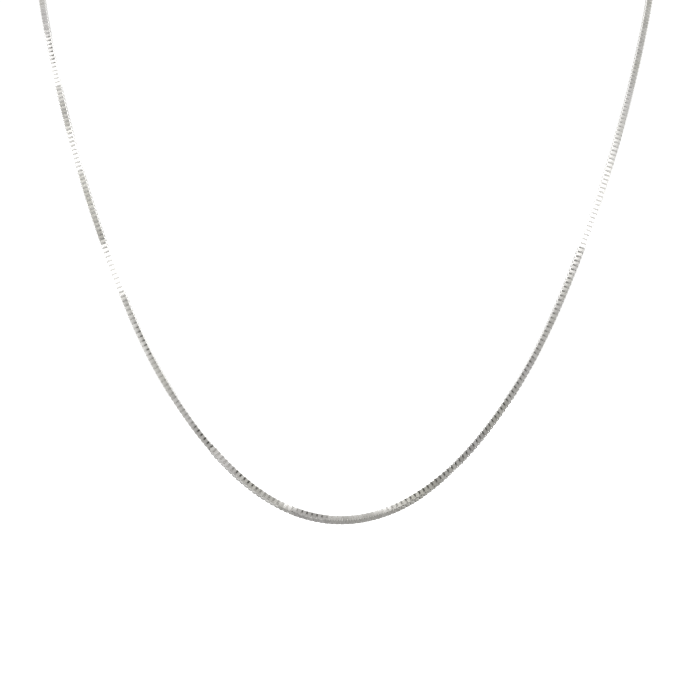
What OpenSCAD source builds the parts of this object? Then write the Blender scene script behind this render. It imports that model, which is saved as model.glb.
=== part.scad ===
// Box chain necklace, worn round a neck: a fine silver chain of square section, closed at the back.
// The origin is the middle of the closed end, at the nape. The chain hangs towards -Y and down.

/* [Chain] */
// Width of the square chain across its flat faces
box_w = 1.34; // [1.3:0.02:1.5]
// Width of the flat strip that every link is bent from
strip_w = 1.04; // [0.9:0.02:1.2]

/* [End links] */
// Thickness of the strip of an end link
end_link_t = 0.2; // [0.15:0.05:0.3]
// Length of an end link, outside
end_link_l = 2; // [1.6:0.1:3]
// Outer radius of an end link's bends
end_link_bend = 0.35; // [0.32:0.01:0.5]

/* [End rings] */
// Outside diameter of an end ring
ring_od = 3.6; // [3.4:0.1:4.4]
// Thickness of an end ring's wire
ring_wire = 0.6; // [0.4:0.05:0.7]

/* [Clasp] */
// Outside diameter of the clasp's ring
clasp_od = 5.9; // [5.5:0.1:7]
// Thickness of the clasp's tube
clasp_tube = 1.1; // [0.9:0.05:1.3]
// Outside diameter of the eye soldered to the clasp
eye_od = 2.6; // [2.4:0.1:3.2]
// Thickness of the eye's wire
eye_wire = 0.6; // [0.4:0.05:0.7]
// Diameter of the clasp's thumb knob
knob_d = 0.8; // [0.6:0.05:1]
// How far the thumb knob stands out of the clasp's tube
knob_out = 0.7; // [0.5:0.05:1]

/* [Fit] */
// Space left between pieces that hold each other
play = 0.1; // [0.08:0.01:0.14]

/* [Hidden] */

// Route of one half of the chain, from the middle of the front up and round to the back
half_route = [
    [0, -86, -130.3],
    [12, -85.5, -127.1],
    [22, -84.5, -119],
    [30, -83, -109],
    [36.5, -80.5, -98.5],
    [41.4, -77.5, -88],
    [45.4, -74, -78.5],
    [49.4, -70, -68],
    [53.4, -65, -56.5],
    [57.3, -58.5, -44],
    [60.7, -51.5, -31.5],
    [63.5, -43.5, -20.5],
    [63.2, -34.5, -13],
    [58, -25.5, -8],
    [50, -17, -4.5],
    [40, -9.5, -2],
    [29.5, -3.5, -0.5],
    [18.5, -0.5, 0]
];
// The side from which the chain shows one flat face all the way
front = [0, -1, 0];
rings_per_span = 3;
round_fn = 64;

ring_r = (ring_od - ring_wire) / 2;
clasp_r = (clasp_od - clasp_tube) / 2;
eye_r = (eye_od - eye_wire) / 2;
end_link_w = strip_w + 2 * play + 2 * end_link_t;

// How far an end link's flat strip reaches into its round ring, with its corners clear
strip_in_ring = sqrt((ring_r - ring_wire / 2 - play) ^ 2 - (strip_w / 2) ^ 2);

// How far each chain end lies from the clasp's centre, worked out piece by piece
eye_x = clasp_r + eye_r;
left_ring_x = eye_x + eye_r - eye_wire / 2 - play - ring_wire / 2 + ring_r;
left_link_x = left_ring_x + strip_in_ring - end_link_t;
left_reach = left_link_x + end_link_l + play;
right_ring_x = clasp_r - clasp_tube / 2 - play - ring_wire / 2 + ring_r;
right_link_x = right_ring_x + strip_in_ring - end_link_t;
right_reach = right_link_x + end_link_l + play;

// The closed end is centred, so both chain ends lie equally far out
chain_end_x = (left_reach + right_reach) / 2;
clasp_x = left_reach - chain_end_x;

route_right = concat(half_route, [[chain_end_x, 0, 0]]);
last = len(route_right) - 1;
beyond = 2 * route_right[last] - route_right[last - 1];
route_half = concat(route_right, [beyond]);
route = concat(
    [for (i = [last + 1 : -1 : 1]) [-route_half[i].x, route_half[i].y, route_half[i].z]],
    route_half
);

function unit(v) = v / norm(v);

// Smooth curve through the route, drawn as a uniform cubic spline
function spline_at(p, i, t) =
    ((1 - t) ^ 3 * p[i] + (3 * t ^ 3 - 6 * t ^ 2 + 4) * p[i + 1]
    + (-3 * t ^ 3 + 3 * t ^ 2 + 3 * t + 1) * p[i + 2] + t ^ 3 * p[i + 3]) / 6;

function spline_way(p, i, t) =
    unit(-(1 - t) ^ 2 * p[i] + (3 * t ^ 2 - 4 * t) * p[i + 1]
    + (-3 * t ^ 2 + 2 * t + 1) * p[i + 2] + t ^ 2 * p[i + 3]);

// Square section with the corners that the alternate links leave open
function section_at(at, way) =
    let (
        out = unit(front - (front * way) * way),
        side = cross(way, out),
        a = box_w / 2,
        b = strip_w / 2,
        corners = [[a, b], [b, a], [-b, a], [-a, b], [-a, -b], [-b, -a], [b, -a], [a, -b]]
    )
    [for (c = corners) at + c.x * out + c.y * side];

function flat_list(lists) = [for (one = lists) each one];

// Closed skin over rings of points, with a flat cap at each end
module skin(rings) {
    sides = len(rings[0]);
    count = len(rings);
    walls = [
        for (r = [0 : count - 2])
            for (s = [0 : sides - 1])
                let (
                    a = r * sides + s,
                    b = r * sides + (s + 1) % sides
                )
                each [[a, a + sides, b], [b, a + sides, b + sides]]
    ];
    first_cap = [[for (s = [0 : sides - 1]) s]];
    last_cap = [[for (s = [sides - 1 : -1 : 0]) (count - 1) * sides + s]];
    polyhedron(points = flat_list(rings), faces = concat(walls, first_cap, last_cap));
}

module round_ring(radius, wire) {
    rotate_extrude($fn = round_fn)
        translate([radius, 0])
            circle(d = wire, $fn = round_fn);
}

module rounded_plate(length, width, bend, thick) {
    linear_extrude(height = thick, center = true) {
        square([length - 2 * bend, width], center = true);
        square([length, width - 2 * bend], center = true);
        for (x = [-1, 1])
            for (y = [-1, 1])
                translate([x * (length / 2 - bend), y * (width / 2 - bend)])
                    circle(r = bend, $fn = round_fn);
    }
}

// Flat strip bent to a long square loop, its hole facing along Y
module end_link() {
    color("silver")
        rotate([90, 0, 0])
            difference() {
                rounded_plate(end_link_l, end_link_w, end_link_bend, strip_w);
                rounded_plate(
                    end_link_l - 2 * end_link_t,
                    end_link_w - 2 * end_link_t,
                    end_link_bend - end_link_t,
                    strip_w + 2
                );
            }
}

module end_ring() {
    color("silver")
        round_ring(ring_r, ring_wire);
}

module chain() {
    spans = len(route) - 3;
    stations = [
        for (i = [0 : spans - 1])
            for (k = [0 : rings_per_span - 1])
                [i, k / rings_per_span]
    ];
    ends = concat(stations, [[spans - 1, 1]]);
    color("silver")
        skin([
            for (s = ends)
                section_at(spline_at(route, s[0], s[1]), spline_way(route, s[0], s[1]))
        ]);
}

module end_link_left() {
    translate([clasp_x - left_link_x - end_link_l / 2, 0, 0])
        end_link();
}

module end_link_right() {
    translate([clasp_x + right_link_x + end_link_l / 2, 0, 0])
        end_link();
}

module end_ring_left() {
    translate([clasp_x - left_ring_x, 0, 0])
        end_ring();
}

module end_ring_right() {
    translate([clasp_x + right_ring_x, 0, 0])
        end_ring();
}

// Plain clasp: a ring with a soldered eye and a thumb knob
module clasp() {
    color("silver")
        translate([clasp_x, 0, 0])
            rotate([90, 0, 0]) {
                round_ring(clasp_r, clasp_tube);
                translate([-eye_x, 0, 0])
                    round_ring(eye_r, eye_wire);
                rotate([0, 0, 60])
                    translate([clasp_r, 0, 0])
                        rotate([0, 90, 0])
                            cylinder(d = knob_d, h = clasp_tube / 2 + knob_out, $fn = round_fn);
            }
}

chain();
end_link_left();
end_link_right();
end_ring_left();
end_ring_right();
clasp();
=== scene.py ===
import bisect
import math
import random
import bpy
from mathutils import Matrix, Vector


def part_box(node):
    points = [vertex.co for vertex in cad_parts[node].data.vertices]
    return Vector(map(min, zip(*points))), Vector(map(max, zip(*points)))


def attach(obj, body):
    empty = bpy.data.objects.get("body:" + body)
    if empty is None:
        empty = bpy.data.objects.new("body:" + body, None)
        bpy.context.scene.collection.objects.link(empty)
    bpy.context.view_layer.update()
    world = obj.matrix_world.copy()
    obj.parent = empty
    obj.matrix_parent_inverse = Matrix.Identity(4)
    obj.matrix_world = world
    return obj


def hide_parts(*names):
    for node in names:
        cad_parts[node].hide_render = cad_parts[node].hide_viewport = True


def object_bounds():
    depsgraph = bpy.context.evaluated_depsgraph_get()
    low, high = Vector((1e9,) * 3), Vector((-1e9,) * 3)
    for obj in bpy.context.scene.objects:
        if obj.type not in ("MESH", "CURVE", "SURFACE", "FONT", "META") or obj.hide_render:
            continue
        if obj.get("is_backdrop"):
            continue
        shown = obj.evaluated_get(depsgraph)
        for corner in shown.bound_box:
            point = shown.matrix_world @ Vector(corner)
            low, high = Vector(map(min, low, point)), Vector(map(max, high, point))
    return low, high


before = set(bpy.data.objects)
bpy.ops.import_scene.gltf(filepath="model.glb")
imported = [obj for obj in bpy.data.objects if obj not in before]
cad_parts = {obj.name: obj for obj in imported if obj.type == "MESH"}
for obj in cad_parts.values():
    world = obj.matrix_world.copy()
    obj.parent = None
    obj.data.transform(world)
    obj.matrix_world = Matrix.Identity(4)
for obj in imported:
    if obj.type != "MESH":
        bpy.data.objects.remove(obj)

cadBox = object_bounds()
mm = 0.001


def deselectAll():
    bpy.ops.object.select_all(action="DESELECT")


def makeActive(piece):
    deselectAll()
    piece.select_set(True)
    bpy.context.view_layer.objects.active = piece


# the piece that an operator just made, under its own name
def added(name):
    piece = bpy.context.object
    piece.name = name
    piece.data.name = name
    return piece


def editMode():
    bpy.ops.object.mode_set(mode="EDIT")


def objectMode():
    bpy.ops.object.mode_set(mode="OBJECT")


# selects all or none of a mesh, by its points, edges or faces
def choose(kind, action):
    bpy.ops.mesh.select_mode(type=kind)
    bpy.ops.mesh.select_all(action=action)


def applyPlace():
    bpy.ops.object.transform_apply(location=True, rotation=True, scale=True)


# gives the active piece a modifier and applies it
def modify(piece, kind, **settings):
    modifier = piece.modifiers.new(kind.title(), kind)
    for key, value in settings.items():
        setattr(modifier, key, value)
    bpy.ops.object.modifier_apply(modifier=modifier.name)


# a link of the chain, in millimetres and degrees
linkFacts = {
    "length": 0.94,           # along the chain
    "width": 1.34,            # across the chain
    "strip": 1.04,            # width of the flat strip that it is bent from
    "thick": 0.14,
    "bend": 0.2,              # outer radius of a bend
    "bendSteps": 1,
    "edge": 0.03,             # softening of the strip's outer edges
    "pitch": 0.48,            # from one link to the next
    "wobble": 0.6,            # how far a link turns by itself
    "slip": 0.004,            # how far it slips
    "seed": 11,
}

# how the chain's links and its end links are shaded
shadingFacts = {
    "creaseAngle": 30,        # degrees; what bends more stays sharp
    "flatWeight": 90,         # over 50, so that large faces shade flat
}


# a flat strip bent to a square loop: its long way along X, its width along Y, its hole along Z
def makeLink(name, facts):
    deselectAll()
    bpy.ops.mesh.primitive_plane_add(size=1, location=(0, 0, -facts["strip"] / 2))
    link = added(name)
    link.scale = (facts["length"], facts["width"], 1)
    applyPlace()
    editMode()
    choose("VERT", "SELECT")
    bpy.ops.mesh.bevel(offset=facts["bend"], segments=facts["bendSteps"], affect="VERTICES")
    choose("FACE", "SELECT")
    bpy.ops.mesh.delete(type="ONLY_FACE")
    choose("EDGE", "SELECT")
    bpy.ops.mesh.extrude_edges_move(TRANSFORM_OT_translate={"value": (0, 0, facts["strip"])})
    choose("EDGE", "SELECT")
    bpy.ops.mesh.normals_make_consistent(inside=False)
    objectMode()
    # the open band's faces have to look outwards before it gets its thickness
    outward = sum(face.normal.dot(face.center) for face in link.data.polygons)
    if outward < 0:
        link.data.flip_normals()
    modify(link, "SOLIDIFY", thickness=facts["thick"], offset=-1, use_even_offset=True)
    softenRims(link, facts)
    makeActive(link)
    bpy.ops.object.shade_smooth_by_angle(angle=math.radians(shadingFacts["creaseAngle"]))
    modify(link, "WEIGHTED_NORMAL", keep_sharp=True, weight=shadingFacts["flatWeight"])
    return link


# bevels the outer edges of the strip's two rims
def softenRims(link, facts):
    mesh = link.data
    rim = facts["strip"] / 2      # how far a rim lies from the middle
    near = 1e-4
    editMode()
    choose("EDGE", "DESELECT")
    objectMode()
    for edge in mesh.edges:
        ends = [mesh.vertices[v].co for v in edge.vertices]
        onRim = all(abs(abs(end.z) - rim) < near for end in ends)
        sameRim = ends[0].z * ends[1].z > 0
        outer = all(depthInside(end, facts) < facts["thick"] / 2 for end in ends)
        edge.select = onRim and sameRim and outer
    editMode()
    bpy.ops.mesh.bevel(offset=facts["edge"], segments=1, affect="EDGES")
    objectMode()


# how far a point lies inside the link's outline with its bent corners
def depthInside(point, facts):
    bend = facts["bend"]
    x = max(abs(point.x) - facts["length"] / 2 + bend, 0)
    y = max(abs(point.y) - facts["width"] / 2 + bend, 0)
    if x > 0 and y > 0:
        return bend - math.hypot(x, y)
    return bend - max(x, y)


# what the silver needs to know of each corner of each face: how deep it lies in the chain, from 0
# on a flat side to 1 inside, whether it is on a rim, how near the middle of the loop it is on an
# uncrossed link, from 0 to 1, and whether it is on the outer side of a crossed one
def markCorners(link, facts):
    corners = []
    for face in link.data.polygons:
        inside = depthInside(face.center, facts) > facts["thick"] / 2
        rim = abs(face.normal.z) > 0.5
        for v in face.vertices:
            spot = link.data.vertices[v].co
            # grows to 1 over half a bend below a flat side
            sunk = min(1, max(0, (facts["width"] / 2 - abs(spot.y)) / facts["bend"] * 2))
            corners.append({
                "depth": 0 if rim else 1 if inside else sunk,
                "rim": rim,
                "inward": 0.5 - spot.z / facts["strip"],
                "outside": spot.y > 0,
            })
    return corners


def mark(piece, name, values):
    attribute = piece.data.attributes.new(name, "FLOAT", "CORNER")
    attribute.data.foreach_set("value", values)


# how the painted shade is spread over the rims and over a crossed link
paintedShadeFacts = {
    "outerRims": 2,           # how fast the painted shade on the outer rims grows where the outer side is painted the darker
    "crossedPlace": 0.5,      # where a crossed link counts, from the outer side (0) to the inner (1)
}


# what the chain's silver reads from a link: its corners, painted shade and reflections on its faces and
# rims, painted shade and tarnish in its gaps, and a tone of its own
def markPaintedShade(link, corners, finish, crossed, tone):
    # finish holds painted shade: grey on the inner and outer faces, dark in the gaps with some tarnish,
    # and on the rims
    inner, outer, gaps, rims = finish
    outerRims = min(1, rims + paintedShadeFacts["outerRims"] * max(0, outer - inner))
    places = [paintedShadeFacts["crossedPlace"] if crossed else corner["inward"] for corner in corners]
    # painted grey reflections and shade on the faces and rims, corner by corner
    film = []
    for corner in corners:
        if corner["rim"]:
            film.append(outerRims if crossed and corner["outside"] else rims)
        elif crossed:
            film.append(outer)
        else:
            film.append(inner * corner["inward"] + outer * (1 - corner["inward"]))
    mark(link, "depth", [corner["depth"] for corner in corners])
    mark(link, "inner", places)
    mark(link, "gaps", [gaps] * len(corners))
    mark(link, "film", film)
    mark(link, "tone", [tone] * len(corners))


# one half of the chain's route in millimetres, from the middle of the front up and round to the
# back; its last point, the chain's end, follows from the end links
routeFacts = {
    "half": [
        (0, -86, -130.3), (12, -85.5, -127.1), (22, -84.5, -119), (30, -83, -109),
        (36.5, -80.5, -98.5), (41.4, -77.5, -88), (45.4, -74, -78.5), (49.4, -70, -68),
        (53.4, -65, -56.5), (57.3, -58.5, -44), (60.7, -51.5, -31.5), (63.5, -43.5, -20.5),
        (63.2, -34.5, -13), (58, -25.5, -8), (50, -17, -4.5), (40, -9.5, -2),
        (29.5, -3.5, -0.5), (18.5, -0.5, 0),
    ],
    "front": Vector((0, -1, 0)),   # where the flat faces look before they are turned
    "stepsPerSpan": 40,
    "play": 0.1,                   # left between the chain's end and its end links
}

# A row of the three tables below starts with a distance along the chain from the middle of the
# front, in millimetres, less than 0 on the left.

# degrees that the chain is turned round itself
rollTable = [
    (-222, 0), (-28.7, 0), (-27.9, -21), (-14, -23), (-9.5, -28), (-8.6, -40), (-3, -43), (7, -43),
    (9.5, -38), (14, -32), (19, -16), (26, 0), (222, 0),
]

# degrees that the links lean, seen on their flat faces
leanTable = [
    (-222, 0), (9, 0), (15, -16), (46, -16), (56, 9), (70, 9), (75, 0), (92, 0), (100, 6),
    (115, 5), (134, 2), (150, 0), (222, 0),
]

# painted light and shade along the chain, from 0 to 1: how much painted grey of reflections and shade
# the flat faces get on the inner side, which looks to the middle of the loop, and on the outer side,
# how dark the gaps between the links are painted, as shade and partly tarnish, and how much painted shade
# the rims get
shadeAndTarnishTable = [
    # the hidden stretch, then grey
    (-222, 0.6, 0.6, 0.3, 0.3), (-134, 0.84, 0.88, 0, 0.25), (-124.5, 0.92, 0.98, 0, 0.3),
    # dark gaps, then pale
    (-122.5, 0.85, 0.5, 1, 0.1), (-117, 0.75, 0.4, 1, 0.1), (-114.5, 0.15, 0.1, 0.25, 0),
    (-111, 0.25, 0.25, 0.25, 0.05),
    # grey, then pale
    (-109, 0.88, 0.88, 0, 0.2), (-102.3, 1, 1, 0.3, 0.2), (-99.5, 0.85, 0.85, 0.1, 0.1),
    (-97.5, 0.5, 0.45, 0.1, 0.05), (-92, 0.25, 0.25, 0.1, 0.05),
    # grey, then white
    (-88, 0.8, 0.85, 0, 0.15), (-80, 0.87, 0.92, 0, 0.15), (-74.5, 1, 1, 0.4, 0.15),
    (-72.5, 0.45, 0.35, 0.3, 0.1), (-70, 0, 0, 0, 0), (-64.5, 0, 0, 0, 0),
    # grey with paler outer sides, and dark gaps twice
    (-61.5, 0.95, 0.75, 0.1, 0.1), (-57, 0.95, 0.65, 0.1, 0.1), (-55, 1, 0.5, 0.6, 0.1),
    (-50, 1, 0.4, 0.7, 0.1), (-48.5, 0.9, 0.6, 0.1, 0.15), (-45, 0.85, 0.65, 0.1, 0.15),
    (-42, 0.92, 0.72, 0.2, 0.15), (-34, 0.92, 0.75, 0.2, 0.15), (-33, 1, 0.85, 0.9, 0.2),
    (-29, 1, 0.85, 0.9, 0.2),
    # two sides of the chain show from here on: grey, dark gaps, grey
    (-28, 0.8, 0.88, 0.1, 0.5), (-23, 0.85, 0.88, 0.15, 0.5), (-21.5, 1, 1, 0.9, 0.6),
    (-17.8, 1, 1, 0.9, 0.6), (-16, 1, 1, 0.3, 0.6), (-12, 1, 1, 0.3, 0.6),
    # bright inner faces, then dark gaps
    (-11, 0.35, 1, 0.1, 0.6), (-8.6, 0.3, 1, 0.1, 0.6), (-7.3, 1, 1, 0.9, 0.7),
    (-3.2, 1, 1, 0.9, 0.7),
    # grey across the middle of the front, then bright inner faces
    (-2.2, 0.72, 1, 0.1, 0.65), (6, 0.68, 1, 0.1, 0.65), (7.3, 0.28, 1, 0.05, 0.6),
    (9.4, 0.3, 1, 0.2, 0.7),
    # dark gaps up the right side, which grow paler
    (11, 0.95, 1, 0.4, 0.8), (16, 1, 1, 1, 0.95), (24, 1, 1, 1, 0.95), (38, 1, 1, 1, 0.8),
    (46, 1, 0.85, 0.8, 0.25), (52, 0.92, 0.92, 0.5, 0.1), (62, 0.72, 1, 0.5, 0.05),
    (68, 0.64, 1, 0.65, 0.05), (72.9, 0.5, 1, 0.6, 0.05),
    # white, slowly grey again, then the hidden stretch
    (74.6, 0.05, 0.15, 0.05, 0), (84, 0.05, 0.34, 0.05, 0), (90, 0.18, 0.5, 0.2, 0.05),
    (97, 0.25, 0.75, 0.3, 0.05), (103, 0.52, 0.8, 0.35, 0.05), (115, 0.82, 0.94, 0.5, 0),
    (134, 0.86, 0.94, 0.5, 0), (222, 0.6, 0.6, 0.3, 0.3),
]


# a table's values at a distance from the middle of the front, eased from row to row
def charted(table, distance):
    for a, b in zip(table, table[1:]):
        if distance <= b[0]:
            share = max(0, (distance - a[0]) / (b[0] - a[0]))
            share = share * share * (3 - 2 * share)
            return [low + (high - low) * share for low, high in zip(a[1:], b[1:])]
    return table[-1][1:]


# a point of a uniform cubic spline, as the source draws the chain's route
def splineAt(points, i, t):
    weights = (
        (1 - t) ** 3,
        3 * t ** 3 - 6 * t ** 2 + 4,
        -3 * t ** 3 + 3 * t ** 2 + 3 * t + 1,
        t ** 3,
    )
    return sum((points[i + k] * weights[k] for k in range(4)), Vector()) / 6


# the whole route as close points, from the left end round the front to the right end, and how
# far along the chain each of them lies
def walkRoute(endX):
    half = [Vector(p) * mm for p in routeFacts["half"]] + [Vector((endX, 0, 0))]
    half.append(2 * half[-1] - half[-2])
    points = [Vector((-p.x, p.y, p.z)) for p in half[:0:-1]] + half
    steps = routeFacts["stepsPerSpan"]
    spans = len(points) - 3
    walk = [splineAt(points, i, k / steps) for i in range(spans) for k in range(steps)]
    walk.append(splineAt(points, spans - 1, 1))
    travelled = [0]
    for a, b in zip(walk, walk[1:]):
        travelled.append(travelled[-1] + (b - a).length)
    return walk, travelled


# the place at a distance from the start of the walk, and the way that the chain goes there
def placeOn(walk, travelled, distance):
    i = bisect.bisect_left(travelled, distance) - 1
    i = min(max(i, 0), len(walk) - 2)
    share = (distance - travelled[i]) / (travelled[i + 1] - travelled[i])
    return walk[i].lerp(walk[i + 1], share), (walk[i + 1] - walk[i]).normalized()


# turns a link along the chain; a crossed one is a quarter turn further round it
def linkTurn(way, roll, lean, crossed):
    front = routeFacts["front"]
    out = (front - front.dot(way) * way).normalized()
    out = Matrix.Rotation(roll, 3, way) @ out
    side = way.cross(out)
    axes = (way, side, -out) if crossed else (way, out, side)
    return Matrix.Rotation(lean, 3, out) @ Matrix(axes).transposed()


# a copy of the link in its place, with its painted shade and tarnish, fromFront millimetres from the
# middle of the front
def placeLink(link, corners, spot, way, fromFront, crossed, dice):
    roll = math.radians(charted(rollTable, fromFront)[0])
    lean = math.radians(charted(leanTable, fromFront)[0])
    turn = linkTurn(way, roll, lean, crossed)
    for axis in "XYZ":
        wobble = math.radians(dice.uniform(-1, 1) * linkFacts["wobble"])
        turn = turn @ Matrix.Rotation(wobble, 3, axis)
    slip = Vector([dice.uniform(-1, 1) * linkFacts["slip"] for axis in "XYZ"]) * mm
    piece = link.copy()
    piece.data = link.data.copy()
    piece.data.transform(Matrix.Translation(spot + slip) @ turn.to_4x4() @ Matrix.Scale(mm, 4))
    # the painted grey reflections and shade, and the painted shade and tarnish in the gaps, charted for
    # this stretch
    inner, outer, gaps, rims = charted(shadeAndTarnishTable, fromFront)
    finish = (inner, outer, 0 if crossed else gaps, rims)
    markPaintedShade(piece, corners, finish, crossed, dice.random())
    bpy.context.scene.collection.objects.link(piece)
    return piece


def makeChain():
    link = makeLink("boxLink", linkFacts)
    corners = markCorners(link, linkFacts)
    # how far out along X the end links reach
    reach = -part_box("end_link_left")[0][0]
    endX = reach + routeFacts["play"] * mm
    walk, travelled = walkRoute(endX)
    # the last link at each end holds the end link's outer strap
    hold = (linkFacts["length"] / 2 - linkFacts["thick"]) * mm
    firstX = reach - endLinkFacts["thick"] * mm + hold
    lead = endX - firstX
    run = travelled[-1] + 2 * lead
    # an even number of steps, so that both end links are held by an uncrossed link
    steps = 2 * round(run / mm / linkFacts["pitch"] / 2)
    pitch = run / steps
    dice = random.Random(linkFacts["seed"])
    links = []
    for n in range(steps + 1):
        distance = n * pitch - lead
        spot, way = placeOn(walk, travelled, distance)
        fromFront = (distance - travelled[-1] / 2) / mm
        links.append(placeLink(link, corners, spot, way, fromFront, n % 2 == 1, dice))
    makeActive(links[0])
    for piece in links:
        piece.select_set(True)
    bpy.ops.object.join()
    chain = added("boxChain")
    print("chain links:", steps + 1, "pitch mm:", round(pitch / mm, 4))
    print("faces a link:", len(link.data.polygons))
    bpy.data.objects.remove(link)
    return chain


# an end link's sizes that its box in the source doesn't tell, in millimetres
endLinkFacts = {
    "thick": 0.2,
    "bend": 0.35,             # outer radius of a bend
    "bendSteps": 4,
    "edge": 0.03,             # softening of the strip's outer edges
    "finish": (1, 1, 0.3, 0.7),   # as in a row of the table of painted shade and tarnish
    "tone": 0.5,
}


# the corners of a piece of the source, in millimetres
def millimetreBox(name):
    return [Vector(corner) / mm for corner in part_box(name)]


def makeEndLink(node):
    low, high = millimetreBox(node)
    across = high - low
    facts = dict(endLinkFacts, length=across.x, width=across.z, strip=across.y)
    link = makeLink(node, facts)
    markPaintedShade(link, markCorners(link, facts), facts["finish"], True, facts["tone"])
    upright = Matrix.Rotation(math.radians(90), 4, "X")
    link.data.transform(Matrix.Scale(mm, 4) @ Matrix.Translation((low + high) / 2) @ upright)
    return link


ringFacts = {
    "around": 72,             # segments round a ring
    "wireSides": 24,
}


# a ring of round wire, flat like the chain's end rings or upright like the clasp
def makeRing(name, place, outer, wire, upright):
    deselectAll()
    bpy.ops.mesh.primitive_torus_add(
        major_segments=ringFacts["around"],
        minor_segments=ringFacts["wireSides"],
        major_radius=(outer - wire) / 2,
        minor_radius=wire / 2,
        location=place,
        rotation=(math.radians(90 if upright else 0), 0, 0),
    )
    ring = added(name)
    applyPlace()
    bpy.ops.object.shade_smooth()
    return ring


def makeEndRing(node):
    low, high = millimetreBox(node)
    ring = makeRing(node, (low + high) / 2, high.y - low.y, high.z - low.z, False)
    ring.data.transform(Matrix.Scale(mm, 4))
    return ring


# the clasp's sizes that its box in the source doesn't tell, in millimetres and degrees
claspFacts = {
    "eyeOuter": 2.6,          # diameter of the eye
    "eyeWire": 0.6,
    "knob": 0.8,              # diameter of the thumb knob
    "knobOut": 0.7,           # how far it stands out of the tube
    "knobAngle": 60,          # from the right up round the ring
    "knobSides": 40,
    "knobSoft": 0.16,         # rounding of its rim
    "knobSoftSteps": 4,
    "creaseAngle": 35,        # what bends more stays sharp
}


def makeKnob(middle, outer, tube):
    angle = math.radians(claspFacts["knobAngle"])
    length = tube / 2 + claspFacts["knobOut"]
    out = (outer - tube) / 2 + length / 2
    deselectAll()
    bpy.ops.mesh.primitive_cylinder_add(
        vertices=claspFacts["knobSides"],
        radius=claspFacts["knob"] / 2,
        depth=length,
        location=(middle.x + math.cos(angle) * out, middle.y, middle.z + math.sin(angle) * out),
        rotation=(0, math.radians(90) - angle, 0),
    )
    knob = added("knob")
    applyPlace()
    soft = claspFacts["knobSoft"]
    steps = claspFacts["knobSoftSteps"]
    modify(knob, "BEVEL", width=soft, segments=steps, limit_method="ANGLE")
    return knob


# a ring of tube, with the soldered eye on its left and the thumb knob above
def makeClasp(node):
    low, high = millimetreBox(node)
    tube = high.y - low.y
    outer = -2 * low.z
    middle = Vector((high.x - outer / 2, 0, 0))
    clasp = makeRing(node, middle, outer, tube, True)
    eyeOuter = claspFacts["eyeOuter"]
    eyePlace = Vector((low.x + eyeOuter / 2, 0, 0))
    eye = makeRing("eye", eyePlace, eyeOuter, claspFacts["eyeWire"], True)
    knob = makeKnob(middle, outer, tube)
    makeActive(clasp)
    for part in (eye, knob):
        modify(clasp, "BOOLEAN", object=part, operation="UNION", solver="EXACT")
        bpy.data.objects.remove(part)
    bpy.ops.object.shade_smooth_by_angle(angle=math.radians(claspFacts["creaseAngle"]))
    clasp.data.transform(Matrix.Scale(mm, 4))
    return clasp


# a socket's value, which Python's own signs turn into Math nodes
class Wire:
    def __init__(self, nodes, socket):
        self.nodes = nodes
        self.socket = socket

    def math(self, operation, *values):
        return self.nodes.add("ShaderNodeMath", {"operation": operation}, values)

    def __add__(self, other):
        return self.math("ADD", self, other)

    def __sub__(self, other):
        return self.math("SUBTRACT", self, other)

    def __rsub__(self, other):
        return self.math("SUBTRACT", other, self)

    def __mul__(self, other):
        return self.math("MULTIPLY", self, other)

    __radd__ = __add__
    __rmul__ = __mul__


# the nodes of one material or of the world
class Nodes:
    def __init__(self, owner):
        owner.use_nodes = True
        self.owner = owner
        self.tree = owner.node_tree

    # any node: its type, its settings first, then the values or links of its sockets
    def add(self, kind, settings=None, sockets=(), out=0):
        node = self.tree.nodes.new(kind)
        for key, value in (settings or {}).items():
            if key == "stops":
                self.rampStops(node.color_ramp, value)
            else:
                setattr(node, key, value)
        pairs = sockets.items() if isinstance(sockets, dict) else enumerate(sockets)
        for key, value in pairs:
            self.plug(node.inputs[key], value)
        return Wire(self, node.outputs[out]) if node.outputs else None

    def rampStops(self, ramp, stops):
        while len(ramp.elements) < len(stops):
            ramp.elements.new(0.5)
        for element, (place, grey) in zip(ramp.elements, stops):
            element.position = place
            element.color = (grey, grey, grey, 1)

    def plug(self, socket, value):
        if isinstance(value, Wire):
            self.tree.links.new(value.socket, socket)
        else:
            socket.default_value = value

    # the main shader's own sockets, by their names
    def finish(self, sockets):
        shader = self.tree.nodes["Principled BSDF"]
        for key, value in sockets.items():
            self.plug(shader.inputs[key], value)
        return self.owner

    def attribute(self, name):
        return self.add("ShaderNodeAttribute", {"attribute_name": name}, (), "Fac")

    def place(self):
        return self.add("ShaderNodeTexCoord", None, (), "Object")

    def noise(self, scale, detail=2.0):
        sockets = {"Vector": self.place(), "Scale": scale, "Detail": detail}
        return self.add("ShaderNodeTexNoise", None, sockets, "Fac")

    # from colour a to colour b
    def mix(self, share, a, b):
        sockets = {"Factor": share, 6: a, 7: b}
        return self.add("ShaderNodeMix", {"data_type": "RGBA"}, sockets, 2)

    def ramp(self, share, stops):
        return self.add("ShaderNodeValToRGB", {"stops": stops}, [share])

    # from 0 where a direction looks away from a side to 1 where it looks to it
    def facing(self, way, side):
        settings = {"operation": "DOT_PRODUCT"}
        return self.add("ShaderNodeVectorMath", settings, [way, side], "Value") * 0.5 + 0.5

    def bump(self, height, strength, distance):
        sockets = {"Height": height, "Strength": strength, "Distance": distance}
        return self.add("ShaderNodeBump", None, sockets)


# what both silvers share
silverFacts = {
    "bright": (0.96, 0.95, 0.93, 1),
    # greys of the chain's painted reflections and shade, and of the fittings' film
    "greyWarm": (0.288, 0.283, 0.244, 1),
    "greyCool": (0.296, 0.287, 0.281, 1),
    # painted shade in the gaps, partly tarnish
    "tarnishAndShade": (0.05, 0.05, 0.038, 1),
    "metallic": 1.0,
    "scratchDetail": 4.0,
    "scratchDeep": 0.02 * mm,
}

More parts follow.
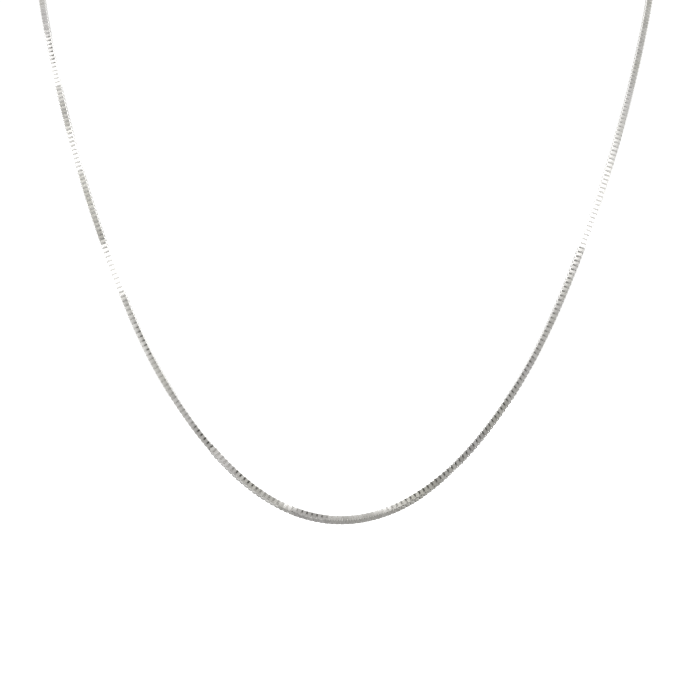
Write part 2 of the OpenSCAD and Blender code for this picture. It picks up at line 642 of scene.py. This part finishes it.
# scales are in waves to a metre
chainSilverFacts = {
    "tarnishAndShadeSpread": [(0.35, 0), (0.6, 1)],   # how much painted shade and tarnish in the gaps, from the outer side (0) to the inner (1)
    "toneInShade": 0.15,       # how much a link's own tone changes its painted grey
    "gapsPaintedLighter": 0.68,       # how much less painted grey lies in the gaps, which paints them lighter
    "tintScale": 90,          # of warm and cool stretches
    "tintContrast": 3,
    "roughness": 0.2,
    "smudges": 0.1,           # how much rougher they are
    "smudgeScale": 2500,
    "toneInRoughness": 0.06,
    "gapsInRoughness": 0.15,
    "scratches": 0.15,
    "scratchScale": 9000,
}


def scratches(nodes, facts):
    height = nodes.noise(facts["scratchScale"], silverFacts["scratchDetail"])
    return nodes.bump(height, facts["scratches"], silverFacts["scratchDeep"])


# silver with painted grey reflections and shade on the faces, and painted shade with some tarnish in the
# gaps of the inner side
def chainSilver():
    facts = chainSilverFacts
    nodes = Nodes(bpy.data.materials.new("chainSilver"))
    tone = nodes.attribute("tone")
    depth = nodes.attribute("depth")
    # painted shade in the gaps, partly tarnish
    tarnishAndShade = depth * nodes.attribute("gaps")
    tarnishAndShade = tarnishAndShade * nodes.ramp(nodes.attribute("inner"), facts["tarnishAndShadeSpread"])
    # painted grey reflections and shade, charted stretch by stretch
    film = nodes.attribute("film")
    cool = nodes.noise(facts["tintScale"]) * facts["tintContrast"] - 1
    paintedGrey = nodes.mix(cool, silverFacts["greyWarm"], silverFacts["greyCool"])
    film = film * (1 - facts["toneInShade"] + tone * facts["toneInShade"])
    # the gaps are painted lighter than the faces
    film = film * (1 - depth * facts["gapsPaintedLighter"])
    color = nodes.mix(film, silverFacts["bright"], paintedGrey)
    color = nodes.mix(tarnishAndShade, color, silverFacts["tarnishAndShade"])
    roughness = facts["roughness"] + nodes.noise(facts["smudgeScale"]) * facts["smudges"]
    roughness = roughness + tone * facts["toneInRoughness"] + depth * facts["gapsInRoughness"]
    return nodes.finish({
        "Base Color": color,
        "Roughness": roughness,
        "Normal": scratches(nodes, facts),
        "Metallic": silverFacts["metallic"],
    })


fittingSilverFacts = {
    "film": 0.5,              # where it is least
    "filmChange": 0.4,        # how much more of it lies in patches
    "filmScale": 600,
    "roughness": 0.12,
    "smudges": 0.12,          # how much rougher they are
    "smudgeScale": 1800,
    "scratches": 0.12,
    "scratchScale": 7000,
}


# silver of the end rings and the clasp, with a light film in patches
def fittingSilver():
    facts = fittingSilverFacts
    nodes = Nodes(bpy.data.materials.new("fittingSilver"))
    film = nodes.noise(facts["filmScale"]) * facts["filmChange"] + facts["film"]
    color = nodes.mix(film, silverFacts["bright"], silverFacts["greyWarm"])
    roughness = facts["roughness"] + nodes.noise(facts["smudgeScale"]) * facts["smudges"]
    return nodes.finish({
        "Base Color": color,
        "Roughness": roughness,
        "Normal": scratches(nodes, facts),
        "Metallic": silverFacts["metallic"],
    })


cameraFacts = {
    "lens": 100,
    "sensor": 36,
    "near": 10 * mm,          # what is nearer isn't drawn
    "place": Vector((1.6, -444.8, -97.8)) * mm,
    "roll": 0.52,             # degrees
}


def makeCamera():
    data = bpy.data.cameras.new("camera")
    data.lens = cameraFacts["lens"]
    data.sensor_width = cameraFacts["sensor"]
    data.clip_start = cameraFacts["near"]
    camera = bpy.data.objects.new("camera", data)
    camera.matrix_world = (
        Matrix.Translation(cameraFacts["place"])
        @ Matrix.Rotation(math.radians(90), 4, "X")
        @ Matrix.Rotation(math.radians(cameraFacts["roll"]), 4, "Z")
    )
    bpy.context.scene.collection.objects.link(camera)
    bpy.context.scene.camera = camera


roomFacts = {
    "white": 1.05,            # brightness of what lies behind it all
    # grey from behind the chain (0) round to the front (1)
    "round": [(0.0, 1.3), (0.35, 1.3), (0.5, 1.1), (1.0, 1.05)],
    # share of the grey below, from straight up (0) to straight down (1)
    "down": [(0.5, 0.0), (0.68, 1.0)],
    "below": 0.92,
}


# the chain mirrors a plain grey room, and a white one lies behind it all
def makeRoom():
    scene = bpy.context.scene
    scene.view_settings.view_transform = "Standard"
    scene.world = bpy.data.worlds.new("studio")
    nodes = Nodes(scene.world)
    nodes.tree.nodes.clear()
    way = nodes.add("ShaderNodeTexCoord", None, (), "Generated")
    grey = nodes.ramp(nodes.facing(way, (0, -1, 0)), roomFacts["round"])
    down = nodes.ramp(nodes.facing(way, (0, 0, -1)), roomFacts["down"])
    below = roomFacts["below"]
    grey = nodes.mix(down, grey, (below, below, below, 1))
    room = nodes.add("ShaderNodeBackground", None, {"Color": grey})
    behind = {"Color": (1, 1, 1, 1), "Strength": roomFacts["white"]}
    white = nodes.add("ShaderNodeBackground", None, behind)
    seen = nodes.add("ShaderNodeLightPath", None, (), "Is Camera Ray")
    both = nodes.add("ShaderNodeMixShader", None, [seen, room, white])
    nodes.add("ShaderNodeOutputWorld", None, [both])


floorFacts = {
    "z": -0.26,               # metres, as its size
    "size": 12,
    "color": (0.9, 0.9, 0.9, 1),
    "roughness": 0.9,
    "glow": 0.8,
}


def makeFloor():
    deselectAll()
    place = (0, 0, floorFacts["z"])
    bpy.ops.mesh.primitive_plane_add(size=floorFacts["size"], location=place)
    floor = added("floor")
    pale = Nodes(bpy.data.materials.new("paleFloor"))
    floor.data.materials.append(pale.finish({
        "Base Color": floorFacts["color"],
        "Roughness": floorFacts["roughness"],
        "Emission Color": (1, 1, 1, 1),
        "Emission Strength": floorFacts["glow"],
    }))
    floor.visible_glossy = False
    floor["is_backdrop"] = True


# soft boxes where the flat faces of a stretch look: place, width and height in metres, brightness
lightFacts = {
    "aim": Vector((0, -0.07, -0.06)),
    "boxes": {
        "leftHigh": ((-0.5, -0.545, 1.04), (0.16, 0.13), 4),
        "leftMiddle": ((-0.51, -0.795, 0.89), (0.16, 0.12), 4),
        "leftLow": ((-0.485, -1.055, 0.636), (0.16, 0.13), 4),
        "rightLow": ((0.487, -0.96, 0.752), (0.16, 0.18), 4),
        "crown": ((0.11, -0.86, 0.96), (0.1, 0.6), 2.5),
    },
}


def softLight(name, place, size, brightness):
    data = bpy.data.lights.new(name, "AREA")
    data.shape = "RECTANGLE"
    data.size, data.size_y = size
    data.energy = brightness * math.pi * size[0] * size[1]
    light = bpy.data.objects.new(name, data)
    light.location = place
    look = lightFacts["aim"] - Vector(place)
    light.rotation_euler = look.to_track_quat("-Z", "Y").to_euler()
    light.visible_camera = False
    bpy.context.scene.collection.objects.link(light)


# a piece in the place of a node of the source
def fit(piece, node, silver):
    piece.data.materials.append(silver)
    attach(piece, "root")
    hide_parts(node)


makeCamera()
print("camera placed")
makeRoom()
makeFloor()
for name, (place, size, brightness) in lightFacts["boxes"].items():
    softLight(name, place, size, brightness)
print("studio lit")
linkSilver = chainSilver()
wireSilver = fittingSilver()
print("silver mixed")
fit(makeChain(), "chain", linkSilver)
for end in ("left", "right"):
    fit(makeEndLink("end_link_" + end), "end_link_" + end, linkSilver)
    fit(makeEndRing("end_ring_" + end), "end_ring_" + end, wireSilver)
fit(makeClasp("clasp"), "clasp", wireSilver)
print("fittings finished")

size = {"cad": [list(corner) for corner in cadBox], "visual": [list(corner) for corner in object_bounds()]}
